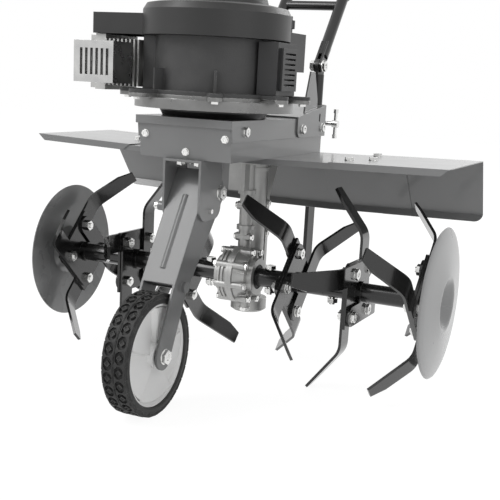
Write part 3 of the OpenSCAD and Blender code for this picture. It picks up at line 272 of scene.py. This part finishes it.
# Rubber and plastic
tyre_rubber = finish("tyre_rubber", (0.020, 0.020, 0.020), (0.032, 0.032, 0.032), 0.62, 0.08,
                     (0.16, 0.16, 0.155), 0.8, dust=0.1, fine=1200.0, slow=30.0, grain=0.35,
                     specular=0.4)
soft_rubber = finish("soft_rubber", (0.018, 0.018, 0.018), (0.028, 0.028, 0.028), 0.6, 0.08,
                     (0.06, 0.06, 0.06), 0.4, dust=0.1, fine=1500.0, grain=0.3, specular=0.4)
white_plastic = finish("white_plastic", (0.86, 0.86, 0.855), (0.9, 0.9, 0.895), 0.36, 0.05,
                       (0.92, 0.92, 0.91), 0.3, dust=0.02, slow=20.0, grain=0.08)
dark_plastic = finish("dark_plastic", (0.02, 0.02, 0.021), (0.03, 0.03, 0.03), 0.44, 0.06,
                      (0.1, 0.1, 0.1), 0.4, dust=0.1, fine=1600.0, grain=0.3)

looks = {
    grey_coat: ["upper_tray", "belt_cover", "rear_bracket", "tine_guard", "guard_extension_left",
                "guard_extension_right", "wheel_bracket"],
    arm_coat_with_painted_shade: ["wheel_arm"],
    disc_own_coat_and_painted_reflection: ["disc_left", "disc_right"],
    black_gloss: ["inner_rotor_tubes", "outer_rotor_tubes", "inner_tines", "middle_tines",
                  "outer_tines", "handlebar", "clutch_lever"],
    black_satin: ["engine_mount_ring", "handle_posts", "drag_bracket", "drag_bar", "idler_arm",
                  "blower_housing"],
    zinc: ["case_bolts", "handle_bolts", "drag_screw", "guard_bolts", "arm_pivot_bolt",
           "wheel_axle_bolt", "wheel_lock_pin", "gearcase_bolts", "rotor_pins", "rotor_bolts",
           "engine_bolts"],
    steel: ["worm_bearings", "output_bearings", "worm_shaft", "output_shaft", "crankshaft",
            "muffler"],
    cast_alloy: ["gearcase_left", "gearcase_right", "engine_cylinder"],
    sump_alloy: ["engine_sump"],
    dark_cast: ["crankcase"],
    bronze: ["worm_wheel"],
    iron: ["input_pulley", "drive_pulley", "flywheel"],
    tyre_rubber: ["tyre"],
    soft_rubber: ["output_seals", "drive_belt", "hand_grips"],
    white_plastic: ["wheel_hub"],
    dark_plastic: ["wheel_bush", "idler_pulley", "fuel_tank", "fuel_cap", "starter_handle",
                   "air_cleaner"],
}


def coat(piece, material):
    piece.data.materials.clear()
    piece.data.materials.append(material)


# Round surfaces of the CAD solids are shaded smooth, and their corners stay sharp
def smooth_node(node, sharp=28):
    node.data.polygons.foreach_set("use_smooth", [True] * len(node.data.polygons))
    weld = node.modifiers.new("weld", "WELD")
    weld.merge_threshold = WELD
    split = node.modifiers.new("split", "EDGE_SPLIT")
    split.split_angle = math.radians(sharp)


# Hand tools for the modelled pieces
def only(piece):
    bpy.ops.object.select_all(action="DESELECT")
    piece.select_set(True)
    bpy.context.view_layer.objects.active = piece


def edit_mode():
    bpy.ops.object.mode_set(mode="EDIT")


def object_mode():
    bpy.ops.object.mode_set(mode="OBJECT")


def place_now(piece):
    only(piece)
    bpy.ops.object.transform_apply(location=True, rotation=True, scale=True)


def pick_faces(piece, test):
    """Selects the faces that pass the test, and leaves edit mode open."""
    only(piece)
    edit_mode()
    bpy.ops.mesh.select_mode(type="FACE")
    bpy.ops.mesh.select_all(action="DESELECT")
    object_mode()
    for face in piece.data.polygons:
        face.select = test(face)
    edit_mode()


def close_up(piece, sharp=30):
    """Welds the piece, turns its normals outwards and shades it smooth up to an angle."""
    only(piece)
    edit_mode()
    bpy.ops.mesh.select_all(action="SELECT")
    bpy.ops.mesh.remove_doubles(threshold=WELD)
    bpy.ops.mesh.normals_make_consistent(inside=False)
    object_mode()
    volume = sum(face.center.dot(face.normal) * face.area for face in piece.data.polygons)
    if volume < 0:
        edit_mode()
        bpy.ops.mesh.select_all(action="SELECT")
        bpy.ops.mesh.flip_normals()
        object_mode()
    bpy.ops.object.shade_smooth_by_angle(angle=math.radians(sharp))


def start_point(name, spot):
    """A piece of one corner, selected in edit mode, from which an outline is extruded."""
    bpy.ops.mesh.primitive_plane_add(size=0.002, location=spot)
    piece = bpy.context.object
    piece.name = name
    place_now(piece)
    edit_mode()
    bpy.ops.mesh.select_mode(type="VERT")
    bpy.ops.mesh.select_all(action="SELECT")
    bpy.ops.mesh.merge(type="CENTER")
    return piece


def mirrored(half):
    """An outline over both sides, from the points of its right half."""
    return [(-u, v) for u, v in half] + half[::-1]


def turn(name, centre, outline, steps):
    """Draws an outline of (along the axle, away from the axle) points and spins it round."""
    points = [centre + AXLE * u + UP * r for u, r in outline]
    piece = start_point(name, points[0])
    for here, there in zip(points, points[1:] + points[:1]):
        bpy.ops.mesh.extrude_vertices_move(TRANSFORM_OT_translate={"value": there - here})
    bpy.ops.mesh.select_all(action="SELECT")
    bpy.ops.mesh.spin(steps=steps, angle=2 * math.pi, center=centre, axis=AXLE)
    object_mode()
    close_up(piece)
    return piece


def swing(piece, angle):
    """Turns the piece's mesh about the front wheel's axle."""
    spot = Matrix.Translation(wheel_mid)
    piece.data.transform(spot @ Matrix.Rotation(angle, 4, AXLE) @ spot.inverted())


def copy_swung(piece, angle):
    only(piece)
    bpy.ops.object.duplicate(linked=False)
    copy = bpy.context.object
    swing(copy, angle)
    return copy


def join_all(parts, name):
    bpy.ops.object.select_all(action="DESELECT")
    for part in parts:
        part.select_set(True)
    bpy.context.view_layer.objects.active = parts[0]
    bpy.ops.object.join()
    parts[0].name = name
    return parts[0]


def dress(piece, material, body, stands_for):
    coat(piece, material)
    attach(piece, body)
    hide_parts(stands_for)


# The front wheel's measures, read from the CAD solids
tyre_low, tyre_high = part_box("tyre")
wheel_mid = (tyre_low + tyre_high) / 2
tyre_r = (tyre_high.z - tyre_low.z) / 2
tyre_half = (tyre_high.x - tyre_low.x) / 2
hub_low, hub_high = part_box("wheel_hub")
rim_r = (hub_high.z - hub_low.z) / 2

PITCHES = 27                          # pits round each of the tyre's two rows
PITCH = 2 * math.pi / PITCHES


def off_axle(spot):
    """The way from the wheel's axle to a spot."""
    return Vector((0, spot.y - wheel_mid.y, spot.z - wheel_mid.z))


# Tyre: a smooth carcass, two staggered rows of pits and a diamond block in every pit
def make_carcass():
    w, r = tyre_half, tyre_r
    sidewall = [(w - 0.0012, rim_r + 0.0012), (w, rim_r + 0.0035), (w - 0.0004, r - 0.0085),
                (w - 0.0025, r - 0.0062), (w - 0.005, r - 0.0052)]
    centre_rib = [(0.0012, r - 0.0048), (0.0004, r - 0.0001)]
    half = [(0.0183, rim_r + 0.0002)] + sidewall + centre_rib
    return turn("carcass", wheel_mid, mirrored(half), 5 * PITCHES)


def make_row(side, edge, top):
    """A ring from the middle out to the tyre's edge, with a pit in every pitch."""
    r = tyre_r
    pit_rim, pit_corner, pit_depth = 0.0011, 0.0050, 0.0036
    pocket_rim, pocket_depth = 0.0016, 0.0012
    row = turn("tread_row", wheel_mid, [
        (side * (edge + 0.0014), r - 0.0075), (side * (edge + 0.0006), top - 0.0022),
        (side * (edge - 0.0012), top - 0.0003), (side * 0.0016, top),
        (side * 0.0008, top - 0.0008), (side * 0.0008, r - 0.0075)], PITCHES)

    # The pits
    pick_faces(row, lambda face: face.area > 0.0003 and off_axle(face.center).length > top * 0.985
               and face.normal.dot(off_axle(face.center)) > 0)
    bpy.ops.mesh.inset(thickness=pit_rim, use_individual=True)
    bpy.ops.mesh.bevel(offset=pit_corner, affect="VERTICES", segments=1)
    object_mode()
    pick_faces(row, lambda face: len(face.vertices) == 8 and face.area > 0.0001)
    bpy.ops.mesh.extrude_faces_move(TRANSFORM_OT_shrink_fatten={"value": -pit_depth})
    object_mode()

    # The shallow pockets on the shoulder
    pick_faces(row, lambda face: abs(face.normal.x) > 0.5
               and abs(face.center.x - wheel_mid.x) > edge - 0.0005
               and off_axle(face.center).length > r - 0.0072)
    bpy.ops.mesh.inset(thickness=pocket_rim, use_individual=True)
    bpy.ops.transform.shrink_fatten(value=-pocket_depth)
    object_mode()
    close_up(row, 20)
    return row


def make_block(across):
    """A diamond block with a sunk top, at the top of the tyre."""
    bpy.ops.mesh.primitive_cylinder_add(
        vertices=4, radius=0.0061, depth=0.0046,
        location=wheel_mid + Vector((across, 0, tyre_r - 0.0025)))
    block = bpy.context.object
    block.name = "tread_block"
    place_now(block)
    pick_faces(block, lambda face: face.normal.z > 0.9)
    bpy.ops.transform.resize(value=(0.86, 0.86, 1))
    bpy.ops.mesh.inset(thickness=0.0013)
    bpy.ops.mesh.extrude_faces_move(TRANSFORM_OT_shrink_fatten={"value": -0.0009})
    object_mode()
    close_up(block, 20)
    return block


def make_tyre():
    edge, top = tyre_half - 0.0020, tyre_r - 0.0001
    parts = [make_carcass()]
    for side in (-1, 1):
        row = make_row(side, edge, top)
        block = make_block(side * (edge + 0.0004) / 2)
        blocks = [copy_swung(block, PITCH * (k + 0.5)) for k in range(PITCHES)]
        bpy.data.objects.remove(block)
        ring = join_all([row] + blocks, "tread_side")
        swing(ring, 0 if side < 0 else PITCH / 2)
        parts.append(ring)
    tyre = join_all(parts, "tyre_with_tread")
    dress(tyre, tyre_rubber, "front_wheel", "tyre")


# Wheel hub: rim, boss and web turned, with five sloping vanes on each side
def make_vane(side, steps=12, sweep=66, sink=0.0085):
    """A radial line, swept round the axle while it sinks into the hub, then given a wall."""
    vane = start_point("hub_vane", wheel_mid + Vector((side * 0.0160, 0, 0.0205)))
    for rise in (0.0140, 0.0220, 0.0205):
        bpy.ops.mesh.extrude_vertices_move(
            TRANSFORM_OT_translate={"value": (side * 0.0002, 0, rise)})
    bpy.ops.mesh.select_all(action="SELECT")
    for down, angle in [(sink / steps, sweep / steps)] * steps + [(-sink, 5)]:
        bpy.ops.mesh.extrude_region_move(TRANSFORM_OT_translate={"value": (-down * side, 0, 0)})
        bpy.ops.transform.rotate(value=math.radians(angle), orient_axis="X",
                                 center_override=wheel_mid)
    object_mode()
    wall = vane.modifiers.new("wall", "SOLIDIFY")
    wall.thickness = 0.0024
    wall.offset = 0
    only(vane)
    bpy.ops.object.modifier_apply(modifier="wall")
    close_up(vane, 25)
    return vane


def make_hub():
    rim_half = [(0.0185, rim_r), (0.0185, rim_r - 0.0022), (0.0172, rim_r - 0.0038),
                (0.012, rim_r - 0.006), (0.0035, rim_r - 0.0085)]
    boss_w = hub_high.x - wheel_mid.x
    boss_half = [(boss_w, 0.0092), (boss_w, 0.0175), (boss_w - 0.0015, 0.0192),
                 (0.011, 0.0215), (0.0095, 0.0235), (0.0025, 0.0255)]
    web_half = [(0.003, 0.0235), (0.003, rim_r - 0.0075)]
    parts = [turn(name, wheel_mid, mirrored(half), steps)
             for name, half, steps in (("hub_rim", rim_half, 120), ("hub_boss", boss_half, 72),
                                       ("hub_web", web_half, 96))]
    for side in (-1, 1):
        vane = make_vane(side)
        parts.append(vane)
        parts += [copy_swung(vane, math.radians(72 * k)) for k in range(1, 5)]
    hub = join_all(parts, "vaned_hub")
    dress(hub, white_plastic, "front_wheel", "wheel_hub")


# Side disc: a spun dish, bulging outwards, with a deep coned seat for its bolt
def make_disc(side, name):
    low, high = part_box(name)
    middle = (low + high) / 2
    middle.x = high.x if side > 0 else low.x
    r = (high.z - low.z) / 2
    outer_face = [(-0.0125, 0.0054), (-0.0125, 0.0235), (-0.0112, 0.0262), (0.0052, 0.0400),
                  (0.0080, 0.0432), (0.0090, 0.0465), (0.0084, 0.0500), (0.0064, 0.0640),
                  (0.0035, 0.0850), (0.0005, 0.1080), (-0.0026, r - 0.0050),
                  (-0.0040, r - 0.0012), (-0.0052, r)]
    inner_face = [(-0.0063, r - 0.0012), (-0.0052, r - 0.0060), (-0.0020, 0.1080),
                  (0.0010, 0.0850), (0.0039, 0.0640), (0.0059, 0.0502), (0.0062, 0.0475),
                  (0.0036, 0.0425), (-0.0132, 0.0280), (-0.0148, 0.0245), (-0.0148, 0.0054)]
    disc = turn(name + "_dish", middle, [(side * u, v) for u, v in outer_face + inner_face], 144)
    dress(disc, disc_own_coat_and_painted_reflection, "rotor", name)


# Middle guard: its hanging part is drawn together at the two bends, so no slit is left there
def make_guard(bend=0.086, inwards=0.0004, outwards=0.0050, roof=0.4025):
    node = nodes["tine_guard"]
    sheet = node.data.copy()
    sheet.transform(node.matrix_world)
    guard = bpy.data.objects.new("bent_guard", sheet)
    scene.collection.objects.link(guard)
    only(guard)
    bpy.ops.mesh.customdata_custom_splitnormals_clear()
    close_up(guard, 25)
    bpy.ops.object.shade_flat()
    for corner in guard.data.vertices:
        if bend - inwards < abs(corner.co.x) < bend + outwards and corner.co.z < roof:
            corner.co.x = math.copysign(bend, corner.co.x)
    dress(guard, grey_coat, "chassis", "tine_guard")


# Floor, world and lamps
def seen_rays(tree):
    """1 for the rays of the camera, of reflections and of glass, 0 for the rest."""
    rays = add(tree, "ShaderNodeLightPath").outputs
    seen = math_node(tree, "MAXIMUM", rays["Is Camera Ray"], rays["Is Transmission Ray"])
    return math_node(tree, "MAXIMUM", seen, rays["Is Glossy Ray"])


def make_floor(glow_share=0.82, glow_level=1.13):
    """A pale floor that is seen nearly white, while the part left unmixed keeps the shadow."""
    bpy.ops.mesh.primitive_plane_add(size=16, location=(0, 0, 0))
    floor = bpy.context.object
    floor.name = "floor"
    material, tree, shader = new_material("pale_floor")
    spread = noise(tree, add(tree, "ShaderNodeTexCoord"), 3.0, 3.0, 0.55)
    feed(tree, shader.inputs["Base Color"],
         mix_colour(tree, spread, (0.80, 0.80, 0.80), (0.84, 0.84, 0.84)))
    shader.inputs["Roughness"].default_value = 0.7
    glow = add(tree, "ShaderNodeEmission")
    glow.inputs["Strength"].default_value = glow_level
    share = math_node(tree, "MULTIPLY", seen_rays(tree), glow_share)
    feed(tree, tree.nodes["Material Output"].inputs["Surface"],
         mix_shader(tree, share, shader.outputs[0], glow.outputs[0]))
    floor.data.materials.append(material)


def make_world(light_level=0.42, seen_level=1.0):
    world = bpy.data.worlds.new("studio_world")
    scene.world = world
    world.use_nodes = True
    tree = world.node_tree
    back = tree.nodes["Background"]
    back.inputs["Color"].default_value = (1, 1, 1, 1)
    feed(tree, back.inputs["Strength"],
         ramp(tree, seen_rays(tree), 0.0, 1.0, light_level, seen_level))


def add_lamp(name, spot, size, power, aim_at=(0, 0, 0.25)):
    bpy.ops.object.light_add(type="AREA", location=spot)
    lamp = bpy.context.object
    lamp.name = name
    lamp.data.shape = "SQUARE"
    lamp.data.size = size
    lamp.data.energy = power
    aim = Vector(aim_at) - Vector(spot)
    lamp.rotation_euler = aim.to_track_quat("-Z", "Y").to_euler()


add_camera()
for material, names in looks.items():
    for name in names:
        coat(nodes[name], material)
for node in nodes.values():
    smooth_node(node)

make_tyre()
make_hub()
make_disc(-1, "disc_left")
make_disc(1, "disc_right")
make_guard()

make_floor()
make_world()
add_lamp("key_light", (-2.2, -2.4, 3.0), 2.2, 84)
add_lamp("fill_light", (2.8, -1.6, 1.8), 2.4, 16)
add_lamp("back_light", (0.6, 3.0, 2.6), 2.2, 55)
scene.view_settings.view_transform = "Standard"
